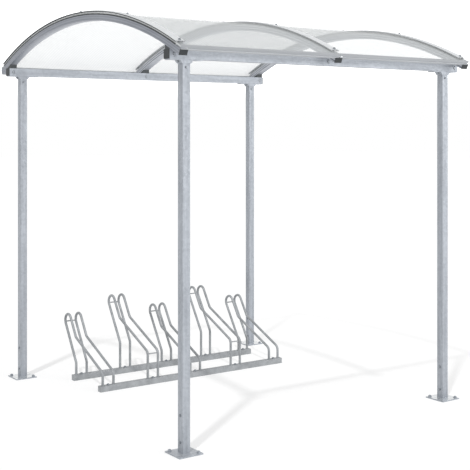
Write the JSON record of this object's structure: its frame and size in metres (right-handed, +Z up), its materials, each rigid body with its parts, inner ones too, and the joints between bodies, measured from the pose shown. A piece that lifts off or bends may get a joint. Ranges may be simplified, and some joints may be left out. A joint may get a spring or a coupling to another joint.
{
  "type": "bike shelter",
  "caption": "Open galvanised steel bike shelter with a curved translucent roof on aluminium arches and a wheel rack of low and high hoops.",
  "frame": {"origin": "on the ground in the middle of the shelter", "axes": "+X to the right along the beams, +Y from the front to the rear, +Z up"},
  "size_m": [2.292, 2.478, 2.5695],
  "materials": {
    "galvanised_steel": "hot-dip galvanised, matt grey",
    "aluminium": "mill-finish extruded aluminium, satin",
    "cap_plastic": "charcoal polyethylene, matt",
    "gasket_rubber": "black EPDM, matt",
    "polycarbonate": "clear twin-wall polycarbonate"
  },
  "bodies": {
    "root": {"front_left_foot": "galvanised_steel", "front_right_foot": "galvanised_steel", "rear_left_foot": "galvanised_steel", "rear_right_foot": "galvanised_steel", "front_left_post": "galvanised_steel", "front_right_post": "galvanised_steel", "rear_left_post": "galvanised_steel", "rear_right_post": "galvanised_steel", "front_left_post_head": "galvanised_steel", "front_right_post_head": "galvanised_steel", "rear_left_post_head": "galvanised_steel", "rear_right_post_head": "galvanised_steel", "front_beam": "galvanised_steel", "rear_beam": "galvanised_steel", "front_beam_end_caps": "cap_plastic", "rear_beam_end_caps": "cap_plastic", "front_arch_seats": "cap_plastic", "rear_arch_seats": "cap_plastic", "left_arch": "aluminium", "middle_arch": "aluminium", "right_arch": "aluminium", "left_arch_end_caps": "cap_plastic", "middle_arch_end_caps": "cap_plastic", "right_arch_end_caps": "cap_plastic", "left_arch_gaskets": "gasket_rubber", "middle_arch_gaskets": "gasket_rubber", "right_arch_gaskets": "gasket_rubber", "left_roof_sheet": "polycarbonate", "right_roof_sheet": "polycarbonate", "left_cover_strip": "aluminium", "middle_cover_strip": "aluminium", "right_cover_strip": "aluminium", "left_cover_screws": "galvanised_steel", "middle_cover_screws": "galvanised_steel", "right_cover_screws": "galvanised_steel", "front_left_eave": "aluminium", "front_right_eave": "aluminium", "rear_left_eave": "aluminium", "rear_right_eave": "aluminium", "rack_front_rail": "galvanised_steel", "rack_rear_rail": "galvanised_steel", "rack_rail_end_plates": "galvanised_steel", "rack_place_1_hoops": "galvanised_steel", "rack_place_2_hoops": "galvanised_steel", "rack_place_3_hoops": "galvanised_steel", "rack_place_4_hoops": "galvanised_steel", "rack_place_5_hoops": "galvanised_steel", "rack_joining_bars": "galvanised_steel"}
  },
  "joints": []
}
